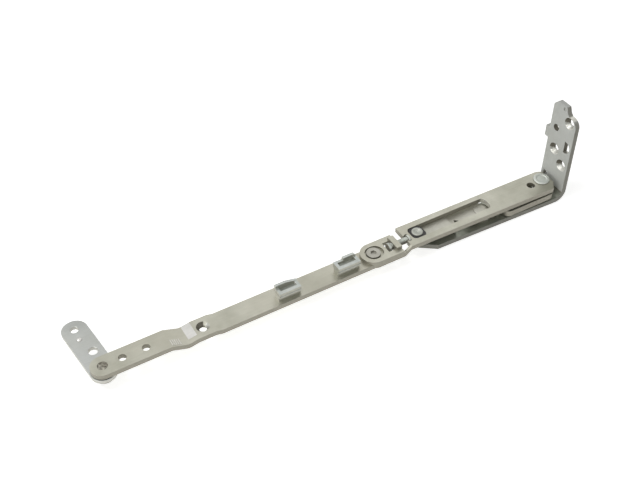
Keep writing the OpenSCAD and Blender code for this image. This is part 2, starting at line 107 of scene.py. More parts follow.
def add_node(tree: bpy.types.NodeTree, kind: str, settings: dict | None = None,
             links: dict | None = None) -> bpy.types.Node:
    """Add a shader node with its settings and links.

    Args:
        tree: Node tree that gets the node.
        kind: Blender's identifier of the node type.
        settings: Node properties by name, or input values by socket name or number.
        links: Output sockets by the name or number of the input that they feed.

    Returns:
        The new node.
    """
    made = tree.nodes.new(kind)
    for name, value in (settings or {}).items():
        if isinstance(name, str) and hasattr(made, name):
            setattr(made, name, value)
        else:
            made.inputs[name].default_value = value
    for name, source in (links or {}).items():
        tree.links.new(source, made.inputs[name])
    return made


def noise(tree: bpy.types.NodeTree, place: bpy.types.NodeSocket, size_mm: float,
          **settings: float) -> bpy.types.NodeSocket:
    """Add a noise texture with cells of a real size.

    Args:
        tree: Node tree that gets the node.
        place: Output that gives the place.
        size_mm: Size of the cells.
        settings: Input values by socket name.

    Returns:
        Output with the noise, about 0.5 on average.
    """
    return add_node(tree, "ShaderNodeTexNoise", {"Scale": 1.0 / (size_mm * MM), **settings},
                    {"Vector": place}).outputs["Fac"]


def remap(tree: bpy.types.NodeTree, value: bpy.types.NodeSocket, source: tuple[float, float] = (0.0, 1.0),
          target: tuple[float, float] = (0.0, 1.0), course: str = "LINEAR") -> bpy.types.NodeSocket:
    """Map one range of a value on to another.

    Args:
        tree: Node tree that gets the node.
        value: Output that gives the value.
        source: Ends of the range that the value comes from.
        target: Ends of the range that it is mapped on to.
        course: Blender's name for the course between the ends.

    Returns:
        Output with the new value.
    """
    ends = dict(zip(("From Min", "From Max", "To Min", "To Max"), (*source, *target)))
    return add_node(tree, "ShaderNodeMapRange", {"interpolation_type": course, **ends},
                    {"Value": value}).outputs["Result"]


def blend(tree: bpy.types.NodeTree, share: bpy.types.NodeSocket | float,
          first: bpy.types.NodeSocket | tuple[float, ...], second: bpy.types.NodeSocket | tuple[float, ...],
          way: str = "MIX") -> bpy.types.NodeSocket:
    """Blend two colours.

    Args:
        tree: Node tree that gets the node.
        share: Share of the second colour, as an output or a fixed value.
        first: First colour, as an output or a fixed colour.
        second: Second colour, as an output or a fixed colour.
        way: Blender's name for the way to blend them.

    Returns:
        Output with the blended colour.
    """
    inputs = {0: share, 6: first, 7: second}
    links = {i: given for i, given in inputs.items() if isinstance(given, bpy.types.NodeSocket)}
    fixed = {i: given for i, given in inputs.items() if i not in links}
    return add_node(tree, "ShaderNodeMix", {"data_type": "RGBA", "blend_type": way, **fixed},
                    links).outputs[2]


def either(tree: bpy.types.NodeTree, first: bpy.types.NodeSocket,
           second: bpy.types.NodeSocket) -> bpy.types.NodeSocket:
    """Join two tests of a ray.

    Args:
        tree: Node tree that gets the node.
        first: Output of the first test.
        second: Output of the second test.

    Returns:
        Output that is 1 where either test is true.
    """
    return add_node(tree, "ShaderNodeMath", {"operation": "MAXIMUM"}, {0: first, 1: second}).outputs["Value"]


@dataclass(frozen=True)
class PlatedSteel:
    """Zinc-plated pressed steel: cloudy plating over rolled sheet, satin, with fine pits.

    Plating dries in soft clouds a few centimetres across, rolling leaves faint streaks along the sheet,
    and handling leaves small scuffs that change the gloss more than the colour. The edges that the press
    sheared are rougher than the rolled faces. Their colour, cut, is partly the sheared plating's own tone
    and partly painted shade on the side faces; a cut lighter than the faces is a painted highlight instead.
    """

    name: str
    light: str
    dark: str
    tint: str
    # Side-face colour: partly the sheared tone, partly painted shade (a painted highlight where lighter)
    cut: str = "#8a877b"
    rolled_axis: str = "Z"
    cut_from: float = 0.55
    cut_to: float = 0.2
    roughness: float = 0.4
    metallic: float = 0.75
    cloud_mm: float = 26.0
    cloud_range: tuple[float, float] = (0.34, 0.66)
    stains_per_cloud: float = 2.6
    stain_range: tuple[float, float] = (0.42, 0.7)
    stain_share: tuple[float, float] = (0.0, 0.7)
    streak_mm: float = 1.1
    streak_stretch: tuple[float, float, float] = (0.04, 1.0, 0.35)
    streak_turn_deg: float = 0.0
    streak_range: tuple[float, float] = (0.3, 0.7)
    streak_tone: tuple[float, float] = (0.965, 1.02)
    scuff_mm: float = 3.2
    scuff_range: tuple[float, float] = (0.35, 0.7)
    scuff_gloss: tuple[float, float] = (-0.06, 0.1)
    sheared_gloss: float = 0.12
    pit_mm: float = 0.45
    pit_depth_mm: float = 0.05
    pit_strength: float = 0.12

    def build(self) -> bpy.types.Material:
        """Make the material.

        Returns:
            The plated steel material.
        """
        material = new_material(self.name)
        tree = material.node_tree
        place = add_node(tree, "ShaderNodeTexCoord").outputs["Object"]
        along = add_node(tree, "ShaderNodeMapping",
                         {"Rotation": (0.0, 0.0, math.radians(self.streak_turn_deg)),
                          "Scale": self.streak_stretch}, {"Vector": place}).outputs["Vector"]
        clouds = noise(tree, place, self.cloud_mm, Detail=4.0, Roughness=0.55)
        stains = noise(tree, place, self.cloud_mm * self.stains_per_cloud, Detail=2.0)
        streaks = noise(tree, along, self.streak_mm, Detail=3.0)
        pits = noise(tree, place, self.pit_mm, Detail=2.0)
        scuffs = noise(tree, place, self.scuff_mm, Detail=6.0, Roughness=0.7, Distortion=0.6)
        sheared = self.sheared_share(tree)

        plating = blend(tree, remap(tree, clouds, self.cloud_range), linear(self.dark), linear(self.light))
        toned = blend(tree, remap(tree, stains, self.stain_range, self.stain_share), plating,
                      linear(self.tint))
        rolled = blend(tree, 1.0, toned, remap(tree, streaks, self.streak_range, self.streak_tone),
                       "MULTIPLY")
        # Side faces take the cut colour: painted side shade, partly the sheared edges' own tone
        colour = blend(tree, sheared, rolled, linear(self.cut))

        smoothest, roughest = (self.roughness + change for change in self.scuff_gloss)
        satin = remap(tree, scuffs, self.scuff_range, (smoothest, roughest))
        gloss = add_node(tree, "ShaderNodeMath", {"operation": "MULTIPLY_ADD", 1: self.sheared_gloss},
                         {0: sheared, 2: satin}).outputs["Value"]
        ripple = add_node(tree, "ShaderNodeMath", {"operation": "ADD"},
                          {0: pits, 1: streaks}).outputs["Value"]
        relief = add_node(tree, "ShaderNodeBump",
                          {"Strength": self.pit_strength, "Distance": self.pit_depth_mm * MM},
                          {"Height": ripple}).outputs["Normal"]
        shader = add_node(tree, "ShaderNodeBsdfPrincipled", {"Metallic": self.metallic},
                          {"Base Color": colour, "Roughness": gloss, "Normal": relief})
        add_node(tree, "ShaderNodeOutputMaterial", links={"Surface": shader.outputs["BSDF"]})
        return material

    def sheared_share(self, tree: bpy.types.NodeTree) -> bpy.types.NodeSocket:
        """Find how far a place is a sheared edge, from the way it faces on its own piece.

        Args:
            tree: Node tree of the material.

        Returns:
            Output that is 0 on rolled faces and 1 on sheared edges.
        """
        facing = add_node(tree, "ShaderNodeTexCoord").outputs["Normal"]
        axes = add_node(tree, "ShaderNodeSeparateXYZ", links={"Vector": facing}).outputs
        across = add_node(tree, "ShaderNodeMath", {"operation": "ABSOLUTE"},
                          {0: axes[self.rolled_axis]}).outputs["Value"]
        return remap(tree, across, (self.cut_from, self.cut_to), course="SMOOTHSTEP")


@dataclass(frozen=True)
class MouldedAcetal:
    """Black acetal as moulded: a dull skin with a waxy gloss and a fine grain."""

    name: str = "black acetal moulded"
    base: str = "#1c1b1a"
    worn: str = "#33312e"
    roughness: float = 0.45
    refraction: float = 1.48
    grain_mm: float = 0.4
    grain_depth_mm: float = 0.05
    grain_strength: float = 0.2
    rub_mm: float = 5.0
    rub_range: tuple[float, float] = (0.45, 0.75)
    rub_gloss: tuple[float, float] = (-0.08, 0.1)

    def build(self) -> bpy.types.Material:
        """Make the material.

        Returns:
            The black plastic material.
        """
        material = new_material(self.name)
        tree = material.node_tree
        place = add_node(tree, "ShaderNodeTexCoord").outputs["Object"]
        grain = noise(tree, place, self.grain_mm, Detail=3.0)
        rubs = noise(tree, place, self.rub_mm, Detail=5.0)
        colour = blend(tree, remap(tree, rubs, self.rub_range), linear(self.base), linear(self.worn))
        smoothest, roughest = (self.roughness + change for change in self.rub_gloss)
        gloss = remap(tree, rubs, target=(smoothest, roughest))
        relief = add_node(tree, "ShaderNodeBump",
                          {"Strength": self.grain_strength, "Distance": self.grain_depth_mm * MM},
                          {"Height": grain}).outputs["Normal"]
        shader = add_node(tree, "ShaderNodeBsdfPrincipled", {"IOR": self.refraction},
                          {"Base Color": colour, "Roughness": gloss, "Normal": relief})
        add_node(tree, "ShaderNodeOutputMaterial", links={"Surface": shader.outputs["BSDF"]})
        return material


class Finishes:
    """The finishes of the stay, each made once."""

    def __init__(self) -> None:
        """Make every finish."""
        # Cut colours darker than the faces are painted side shade, partly the sheared edges' own tone
        self.arm = PlatedSteel("zinc plated steel arm", "#bbbaad", "#a4a395", "#b1aea0",
                               cut="#99968a").build()
        self.bracket = PlatedSteel("zinc plated steel bracket", "#cbcdc9", "#b7b9b4", "#bfc0b7",
                                   cut="#a3a299", rolled_axis="Y", cut_from=0.45, cut_to=0.8,
                                   streak_turn_deg=90.0, roughness=0.68, metallic=0.12).build()
        # The swivel's cut is lighter than its faces: a painted highlight along its side faces
        self.swivel = PlatedSteel("zinc plated steel swivel", "#b9bbb8", "#a5a7a3", "#acada4",
                                  cut="#c4c3bc").build()
        # The lever's dark cut is mostly painted shade on its side faces, which lie under the head
        self.lever = PlatedSteel("zinc plated steel lever", "#bcbbb1", "#a4a398", "#b1aea2",
                                 cut="#6f6c62").build()
        self.rivet = PlatedSteel("zinc plated turned steel", "#d8dcd6", "#c2c6bf", "#cccfc5",
                                 roughness=0.46, metallic=0.55, cloud_mm=9.0, streak_mm=0.5).build()
        self.headed = PlatedSteel("zinc plated headed rivet", "#bfc1b9", "#a8aaa1", "#b4b4aa",
                                  roughness=0.46, metallic=0.55, cloud_mm=9.0, streak_mm=0.5).build()
        self.socket = PlatedSteel("zinc plated socket screw", "#b2b0a7", "#9a988e", "#a6a399",
                                  roughness=0.42, cloud_mm=9.0, streak_mm=0.5).build()
        self.peened = PlatedSteel("zinc plated peened rivet", "#b4b1a4", "#45423a", "#7d786a",
                                  # Directions that the lit sides of the holes face, which take the painted
                                  # highlight
                                  roughness=0.5, cloud_mm=1.7, scuff_mm=1.2).build()
        # Painted highlight on the slope of the bar's press flat; the press marks wear it too
        self.pressed = PlatedSteel("zinc plated press flat", "#d8d7d3", "#c8c7c2", "#d0cdc9",
                                   roughness=0.36, cloud_mm=7.0).build()
        # Painted highlight: lit sides of the countersinks, the slot's end wall, the left catch's end
        self.painted_highlight = PlatedSteel("zinc plated countersink", "#d6d6d0", "#bdbdb5", "#cac8be", cut="#cdccc4",
                                roughness=0.34, cloud_mm=3.0).build()
        # Painted shade: shaded sides of the countersinks and the plain hole's bore
        self.bore_shade = PlatedSteel("zinc plated bore", "#77746a", "#5c594f", "#6a665a", cut="#67645a",
                                 roughness=0.5, cloud_mm=3.0).build()
        self.catch = PlatedSteel("zinc plated cast alloy", "#bfc3bf", "#a8ada9", "#b2b5ad", cut="#b4b4a9",
                                 roughness=0.38, cloud_mm=8.0, pit_mm=0.7).build()
        # Darker plating: painted shade on the leg's top and in the bend, where the head shades them
        self.leg_and_bend_shade = PlatedSteel("zinc plated steel under grease", "#b0b3a6", "#969a8c", "#a2a69a",
                                   roughness=0.4, metallic=0.45, cloud_mm=14.0).build()
        self.acetal = MouldedAcetal().build()


def only(piece: bpy.types.Object) -> None:
    """Make a piece the only one that is selected and active.

    Args:
        piece: The piece.
    """
    bpy.ops.object.select_all(action="DESELECT")
    piece.select_set(True)
    bpy.context.view_layer.objects.active = piece


@contextmanager
def editing(piece: bpy.types.Object) -> Iterator[None]:
    """Keep a piece open for edits of its mesh.

    Args:
        piece: The piece.

    Yields:
        Nothing, while the piece is open.
    """
    only(piece)
    bpy.ops.object.mode_set(mode="EDIT")
    yield
    bpy.ops.object.mode_set(mode="OBJECT")


def select_faces(piece: bpy.types.Object, indices: Iterable[int]) -> None:
    """Select some faces of a piece and nothing else.

    Args:
        piece: The piece.
        indices: Numbers of the faces.
    """
    mesh = piece.data
    for element in (*mesh.vertices, *mesh.edges, *mesh.polygons):
        element.select = False
    for index in indices:
        mesh.polygons[index].select = True
    only(piece)
    bpy.context.tool_settings.mesh_select_mode = (False, False, True)


def apply_all(piece: bpy.types.Object) -> None:
    """Apply every modifier of a piece.

    Args:
        piece: The piece.
    """
    only(piece)
    for modifier in list(piece.modifiers):
        bpy.ops.object.modifier_apply(modifier=modifier.name)


def round_edges(piece: bpy.types.Object, edge_mm: float, steps: int, corner_deg: float) -> None:
    """Round the edges of a piece.

    Args:
        piece: The piece.
        edge_mm: Width of the rounding.
        steps: Number of steps in it.
        corner_deg: Angle between two faces from which their edge is rounded.
    """
    bevel = piece.modifiers.new("edges", "BEVEL")
    bevel.width = edge_mm * MM
    bevel.segments = steps
    bevel.limit_method = "ANGLE"
    bevel.angle_limit = math.radians(corner_deg)
    bevel.use_clamp_overlap = True
    apply_all(piece)


def smooth(piece: bpy.types.Object, corner_deg: float) -> None:
    """Shade a piece smooth up to its corners, with its flat faces kept flat beside the rounded edges.

    Args:
        piece: The piece.
        corner_deg: Angle between two faces from which their edge stays sharp.
    """
    only(piece)
    bpy.ops.object.shade_smooth_by_angle(angle=math.radians(corner_deg))
    flats = piece.modifiers.new("flat faces", "WEIGHTED_NORMAL")
    flats.weight = 100
    flats.keep_sharp = True
    apply_all(piece)


def paint_faces(piece: bpy.types.Object, finish: bpy.types.Material,
                chosen: Callable[[bpy.types.MeshPolygon], bool]) -> None:
    """Give some faces of a piece a finish of their own.

    Args:
        piece: The finished piece.
        finish: The finish of those faces.
        chosen: Test that is true for those faces.
    """
    number = len(piece.data.materials)
    piece.data.materials.append(finish)
    for face in piece.data.polygons:
        if chosen(face):
            face.material_index = number


def dress(piece: bpy.types.Object, finish: bpy.types.Material, body: Body) -> None:
    """Give a piece its finish and body.

    Args:
        piece: The finished piece.
        finish: Its finish.
        body: Body on which it rides.
    """
    piece.data.materials.clear()
    piece.data.materials.append(finish)
    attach(piece, body.value)
    LOG.info("%s rides %s with %d faces", piece.name, body.value, len(piece.data.polygons))


@dataclass
class RoundedPiece:
    """A piece that stands for one node, with the rounded edges that pressing or turning leaves.

    A sheet whose folded sides are separate nodes is built as one piece, with no seam between them.
    """

    node: str
    body: Body
    slot: Slot
    finish: bpy.types.Material
    edge_mm: float
    steps: int = 3
    corner_deg: float = 28.0
    sharp_over_deg: float = 8.0
    weld_mm: float = 0.002
    flat_deg: float = 0.5
    seam_mm: float = 0.01
    mark_mm: tuple[float, ...] = ()
    mark_depth_mm: float = 0.25
    mark_flare: float = 1.4
    folded: tuple[str, ...] = ()
    piece: bpy.types.Object = field(init=False)

    def build(self) -> "RoundedPiece":
        """Copy the node, merge its triangles, sink any turned marks and round the edges.

        Returns:
            This piece.
        """
        self.piece = self.copy_node(self.node)
        for other in self.folded:
            self.fold_on(other)
        with editing(self.piece):
            bpy.ops.mesh.select_all(action="SELECT")
            bpy.ops.mesh.remove_doubles(threshold=self.weld_mm * MM)
            bpy.ops.mesh.dissolve_limited(angle_limit=math.radians(self.flat_deg))
        for radius in self.mark_mm:
            self.sink_mark(radius)
        round_edges(self.piece, self.edge_mm, self.steps, self.corner_deg)
        smooth(self.piece, self.corner_deg + self.sharp_over_deg)
        return self

    def copy_node(self, node: str) -> bpy.types.Object:
        """Copy a node.

        Args:
            node: Name of the node.

        Returns:
            The copy, as an object of its own.
        """
        copy = bpy.data.objects.new(f"{node}_plated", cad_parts[node].data.copy())
        bpy.context.scene.collection.objects.link(copy)
        return copy

    def fold_on(self, node: str) -> None:
        """Join the upright side of the same sheet on to the piece, without the two faces at their seam.

        Args:
            node: Name of the upright side, which stands on the piece.
        """
        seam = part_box(node)[0].z
        side = self.copy_node(node)
        for part in (side, self.piece):
            select_faces(part, [f.index for f in part.data.polygons if abs(f.normal.z) > SQUARE
                                and abs(f.center.z - seam) < self.seam_mm * MM])
            with editing(part):
                bpy.ops.mesh.delete(type="FACE")
        side.select_set(True)
        bpy.ops.object.join()

    def sink_mark(self, radius_mm: float) -> None:
        """Sink a turned ring mark into the round top face, or into the floor of the mark before it.

        Args:
            radius_mm: Radius of the mark.
        """
        mesh = self.piece.data
        lowest = max(v.co.z for v in mesh.vertices) - 2 * self.mark_depth_mm * MM
        face = max((f for f in mesh.polygons if f.normal.z > SQUARE and f.center.z > lowest),
                   key=lambda f: f.area)
        reach = max((mesh.vertices[i].co.xy - face.center.xy).length for i in face.vertices)
        select_faces(self.piece, [face.index])
        with editing(self.piece):
            bpy.ops.mesh.inset(thickness=reach - radius_mm * MM)
            bpy.ops.mesh.inset(thickness=self.mark_depth_mm * self.mark_flare * MM,
                               depth=-self.mark_depth_mm * MM)

    def dress(self) -> bpy.types.Object:
        """Dress the piece and let it stand for its node.

        Returns:
            The finished object.
        """
        dress(self.piece, self.finish, self.body)
        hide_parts(self.node, *self.folded)
        return self.piece


@dataclass
class CornerBracket:
    """Bracket with its packing plate, washers and rivets."""

    finishes: Finishes
    sheet_edge_mm: float = 0.55
    rivet_edge_mm: float = 0.3
    pivot_mark_mm: float = 4.3
    pivot_mark_depth_mm: float = 0.45

    def build(self) -> list[RoundedPiece]:
        """Build the bracket's pieces.

        Returns:
            The pieces, not yet dressed.
        """
        f = self.finishes
        sheet, turned = self.sheet_edge_mm, self.rivet_edge_mm
        return [piece.build() for piece in (
            RoundedPiece("corner_bracket", Body.BRACKET, Slot.BRACKET_ZINC, f.bracket, sheet,
                         folded=("bracket_flange",)),
            RoundedPiece("packing_plate", Body.BRACKET, Slot.ZINC_PLATE, f.arm, sheet),
            RoundedPiece("slip_washer", Body.BRACKET, Slot.RIVET_STEEL, f.rivet, turned),
            RoundedPiece("pivot_rivet", Body.BRACKET, Slot.RIVET_STEEL, f.rivet, turned,
                         mark_mm=(self.pivot_mark_mm,), mark_depth_mm=self.pivot_mark_depth_mm),
            RoundedPiece("lever_washer", Body.BRACKET, Slot.RIVET_STEEL, f.rivet, turned),
            RoundedPiece("lever_rivet", Body.BRACKET, Slot.RIVET_STEEL, f.lever, turned),
        )]


@dataclass
class SupportLever:
    """Lever under the head with its sliding block, shoe and rivet."""

    finishes: Finishes
    sheet_edge_mm: float = 0.45
    rivet_edge_mm: float = 0.25
    block_edge_mm: float = 0.4
    shoe_edge_mm: float = 0.12
    rivet_marks_mm: tuple[float, ...] = (2.7, 1.0)
    rivet_mark_depth_mm: float = 0.5

    def build(self) -> list[RoundedPiece]:
        """Build the lever's pieces.

        Returns:
            The pieces, not yet dressed.
        """
        f = self.finishes
        return [piece.build() for piece in (
            RoundedPiece("support_lever", Body.LEVER, Slot.ZINC_PLATE, f.lever, self.sheet_edge_mm),
            RoundedPiece("slider_rivet", Body.LEVER, Slot.RIVET_STEEL, f.headed, self.rivet_edge_mm,
                         mark_mm=self.rivet_marks_mm, mark_depth_mm=self.rivet_mark_depth_mm),
            RoundedPiece("slider_block", Body.SLIDER, Slot.BLACK_ACETAL, f.acetal, self.block_edge_mm),
            RoundedPiece("slide_shoe", Body.SLIDER, Slot.ZINC_PLATE, f.lever, self.shoe_edge_mm),
        )]


@dataclass
class ArmHead:
    """Slotted head plate."""

    finishes: Finishes
    sheet_edge_mm: float = 0.5

    def build(self) -> list[RoundedPiece]:
        """Build the head.

        Returns:
            The pieces, not yet dressed.
        """
        return [RoundedPiece("arm_head", Body.ARM, Slot.ZINC_PLATE, self.finishes.arm,
                             self.sheet_edge_mm).build()]


@dataclass
class ArmBar:
    """Long bar with the adjuster housing, its clamp screw and the catches."""

    finishes: Finishes
    sheet_edge_mm: float = 0.5
    cast_edge_mm: float = 0.45
    screw_edge_mm: float = 0.25
    rivet_edge_mm: float = 0.15
    bend_corner_deg: float = 40.0

    def build(self) -> list[RoundedPiece]:
        """Build the bar's pieces.

        Returns:
            The pieces, not yet dressed.
        """
        f = self.finishes
        return [piece.build() for piece in (
            RoundedPiece("arm_bar", Body.BAR, Slot.ZINC_PLATE, f.arm, self.sheet_edge_mm,
                         corner_deg=self.bend_corner_deg),
            RoundedPiece("adjuster_housing", Body.BAR, Slot.ZINC_PLATE, f.arm, self.cast_edge_mm),
            RoundedPiece("clamp_screw", Body.BAR, Slot.RIVET_STEEL, f.socket, self.screw_edge_mm),
            RoundedPiece("catch_left", Body.BAR, Slot.CAST_CATCH, f.catch, self.cast_edge_mm),
            RoundedPiece("catch_right", Body.BAR, Slot.CAST_CATCH, f.catch, self.cast_edge_mm),
            RoundedPiece("catch_rivets", Body.BAR, Slot.RIVET_STEEL, f.rivet, self.rivet_edge_mm),
        )]


@dataclass
class SwivelEnd:
    """Swivel plate with its washer and rivet."""

    finishes: Finishes
    sheet_edge_mm: float = 0.55
    washer_edge_mm: float = 0.2
    rivet_edge_mm: float = 0.35

    def build(self) -> list[RoundedPiece]:
        """Build the swivel end's pieces.

        Returns:
            The pieces, not yet dressed.
        """
        f = self.finishes
        return [piece.build() for piece in (
            RoundedPiece("swivel_plate", Body.SWIVEL, Slot.BRACKET_ZINC, f.swivel, self.sheet_edge_mm),
            RoundedPiece("swivel_washer", Body.BAR, Slot.BLACK_ACETAL, f.acetal, self.washer_edge_mm),
            RoundedPiece("swivel_rivet", Body.BAR, Slot.RIVET_STEEL, f.peened, self.rivet_edge_mm),
        )]


@dataclass
class AdjustingScrew:
    """Adjusting screw with a real thread between its fluted collar and its button end."""

    finishes: Finishes
    thread_d_mm: float = 5.0
    pitch_mm: float = 0.8
    thread_depth_mm: float = 0.45
    crest_shares: tuple[float, float] = (0.42, 0.58)
    seated_share: float = 0.5
    collar_len_mm: float = 2.2
    button_len_mm: float = 1.6
    sides: int = 48
    rim_mm: float = 0.3
    rim_steps: int = 2
    rim_deg: float = 60.0
    upright_below: float = 0.2
    flute_wall_mm: float = 0.09
    flute_depth_mm: float = 0.3
    thread_steps: int = 32
    merge_mm: float = 0.01
    weld_mm: float = 0.005
    sharp_deg: float = 32.0

    def build(self) -> bpy.types.Object:
        """Build the screw along its own axis, lay it in place and dress it.

        Returns:
            The finished object.
        """
        low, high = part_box("adjusting_screw")
        radius = (high.z - low.z) / 2
        length = high.x - low.x
        collar_len, button_len = self.collar_len_mm * MM, self.button_len_mm * MM
        collar = self.turned_end(radius, collar_len, 0.0, fluted=True)
        button = self.turned_end(radius, button_len, length - button_len, fluted=False)
        screw = self.thread(collar_len * self.seated_share, length - button_len * self.seated_share)
        only(screw)
        collar.select_set(True)
        button.select_set(True)
        bpy.ops.object.join()
        axis = Vector((low.x, (low.y + high.y) / 2, (low.z + high.z) / 2))
        screw.data.transform(Matrix.Translation(axis) @ Matrix.Rotation(math.radians(90), 4, "Y"))
        only(screw)
        bpy.ops.object.shade_smooth_by_angle(angle=math.radians(self.sharp_deg))
        screw.name = "adjusting_screw_threaded"
        dress(screw, self.finishes.rivet, Body.ADJUSTER)
        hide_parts("adjusting_screw")
        return screw

    def turned_end(self, radius: float, length: float, start: float, fluted: bool) -> bpy.types.Object:
        """Build a turned end about the Z axis.

        Args:
            radius: Outside radius in metres.
            length: Length in metres.
            start: Height of its lower face in metres.
            fluted: Whether every other side is sunk to a flute.

        Returns:
            The turned end.
        """
        bpy.ops.object.select_all(action="DESELECT")
        bpy.ops.mesh.primitive_cylinder_add(vertices=self.sides, radius=radius, depth=length,
                                            location=(0, 0, start + length / 2))
        end = bpy.context.active_object
        bpy.ops.object.transform_apply(location=True, rotation=False, scale=False)
        round_edges(end, self.rim_mm, self.rim_steps, self.rim_deg)
        if fluted:
            upright = sorted((f for f in end.data.polygons if abs(f.normal.z) < self.upright_below),
                             key=lambda f: math.atan2(f.center.y, f.center.x))
            select_faces(end, [f.index for f in upright[::2]])
            with editing(end):
                bpy.ops.mesh.inset(thickness=self.flute_wall_mm * MM, depth=-self.flute_depth_mm * MM,
                                   use_individual=True)
        return end

    def thread(self, start: float, stop: float) -> bpy.types.Object:
        """Build the threaded shank about the Z axis.

        Args:
            start: Height where the thread starts, in metres.
            stop: Height where it stops, in metres.

        Returns:
            The threaded shank, closed at both ends.
        """
        pitch = self.pitch_mm * MM
        crest = self.thread_d_mm * MM / 2
        root = crest - self.thread_depth_mm * MM
        crest_from, crest_to = (share * pitch for share in self.crest_shares)
        profile = [(root, 0.0), (crest, crest_from), (crest, crest_to), (root, pitch)]
        mesh = bpy.data.meshes.new("thread_profile")
        mesh.from_pydata([(r, 0.0, start + z) for r, z in profile], [(0, 1), (1, 2), (2, 3)], [])
        shank = bpy.data.objects.new("thread_profile", mesh)
        bpy.context.scene.collection.objects.link(shank)
        turns = shank.modifiers.new("turns", "SCREW")
        turns.axis = "Z"
        turns.screw_offset = pitch
        turns.iterations = max(1, int((stop - start) / pitch) - 1)
        turns.steps = self.thread_steps
        turns.render_steps = self.thread_steps
        turns.use_merge_vertices = True
        turns.merge_threshold = self.merge_mm * MM
        apply_all(shank)
        with editing(shank):
            bpy.ops.mesh.select_all(action="SELECT")
            bpy.ops.mesh.remove_doubles(threshold=self.weld_mm * MM)
            bpy.ops.mesh.fill_holes(sides=0)
            bpy.ops.mesh.select_all(action="SELECT")
            bpy.ops.mesh.normals_make_consistent(inside=False)
        return shank


@dataclass
class PressMarks:
    """Marks that the press left: a pip on the swivel plate and ridges on the bar, in the bright press-flat
    finish, and a painted highlight on the bar's press flat.
    """

    finishes: Finishes
    pip_mm: tuple[float, float] = (-373.3, 31.0)
    pip_r_mm: float = 1.9
    pip_h_mm: float = 0.8
    pip_sides: int = 32
    ridges: int = 5
    ridge_from_mm: tuple[float, float] = (-322.0, -6.4)
    ridge_pitch_mm: float = 1.45
    ridge_len_mm: float = 5.6
    ridge_r_mm: float = 0.32
    ridge_sides: int = 16
    above_mm: float = 100.0
    flat_x_mm: tuple[float, float] = (-310.5, -302.5)
    flat_near_mm: float = -6.4
    slope_up: float = 0.9
    slope_left: float = 0.1
    sharp_deg: float = 40.0

    def build(self, bar: bpy.types.Object) -> None:
        """Make and dress every mark.

        Args:
            bar: The finished bar.
        """
        self.finish(self.pip(), "swivel_pip", Body.SWIVEL, Slot.BRACKET_ZINC)
        self.finish(self.ridge_row(bar), "bar_press_ridges", Body.BAR, Slot.ZINC_PLATE)
        self.brighten(bar)

    def pip(self) -> bpy.types.Object:
        """Build the low dome between the two holes of the swivel plate.

        Returns:
            The pip, not yet dressed.
        """
        x, y = self.pip_mm
        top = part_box("swivel_plate")[1].z
        bpy.ops.object.select_all(action="DESELECT")
        bpy.ops.mesh.primitive_uv_sphere_add(segments=self.pip_sides, ring_count=self.pip_sides // 2,
                                             radius=self.pip_r_mm * MM, location=(x * MM, y * MM, top))
        dome = bpy.context.active_object
        dome.scale.z = self.pip_h_mm / self.pip_r_mm
        bpy.ops.object.transform_apply(location=True, rotation=True, scale=True)
        return dome

    def ridge_row(self, bar: bpy.types.Object) -> bpy.types.Object:
        """Build the row of fine ridges across the slope of the bar.

        Args:
            bar: The finished bar, on whose top they lie.

        Returns:
            The ridges as one piece, not yet dressed.
        """
        x, y = self.ridge_from_mm
        row = []
        for place in (x + i * self.ridge_pitch_mm for i in range(self.ridges)):
            hit, spot, _, _ = bar.ray_cast(Vector((place, y, self.above_mm)) * MM, Vector((0.0, 0.0, -1.0)))
            bpy.ops.object.select_all(action="DESELECT")
            bpy.ops.mesh.primitive_cylinder_add(vertices=self.ridge_sides, radius=self.ridge_r_mm * MM,
                                                depth=self.ridge_len_mm * MM, location=spot,
                                                rotation=(math.radians(90), 0.0, 0.0))
            row.append(bpy.context.active_object)
            bpy.ops.object.transform_apply(location=True, rotation=True, scale=True)
            LOG.debug("ridge at %s, on the bar: %s", spot, hit)
        only(row[0])
        for ridge in row[1:]:
            ridge.select_set(True)
        bpy.ops.object.join()
        return row[0]

    def brighten(self, bar: bpy.types.Object) -> None:
        """Paint a highlight on most of the slope beside the pad's hole, in the brighter finish of the press
        flat.

        Args:
            bar: The finished bar.
        """
        low, high = (edge * MM for edge in self.flat_x_mm)
        near = self.flat_near_mm * MM

        def sloped(face: bpy.types.MeshPolygon) -> bool:
            """Test whether a face belongs to the slope.

            Args:
                face: Face of the bar.

            Returns:
                True if it does.
            """
            return (low < face.center.x < high and face.normal.z > self.slope_up
                    and face.normal.x < -self.slope_left)

        select_faces(bar, [face.index for face in bar.data.polygons if sloped(face)])
        with editing(bar):
            bpy.ops.mesh.bisect(plane_co=(0.0, near, 0.0), plane_no=(0.0, 1.0, 0.0))
        # Painted highlight on the slope, short of its near edge
        paint_faces(bar, self.finishes.pressed, lambda face: sloped(face) and face.center.y > near)

    def finish(self, mark: bpy.types.Object, name: str, body: Body, slot: Slot) -> None:
        """Name, smooth and dress a mark in the press flat's bright finish, the one that paints the slope's
        highlight.

        Args:
            mark: The mark.
            name: Name of the piece.
            body: Body on which it rides.
            slot: Its material slot, not used.
        """
        mark.name = name
        only(mark)
        bpy.ops.object.shade_smooth_by_angle(angle=math.radians(self.sharp_deg))
        dress(mark, self.finishes.pressed, body)


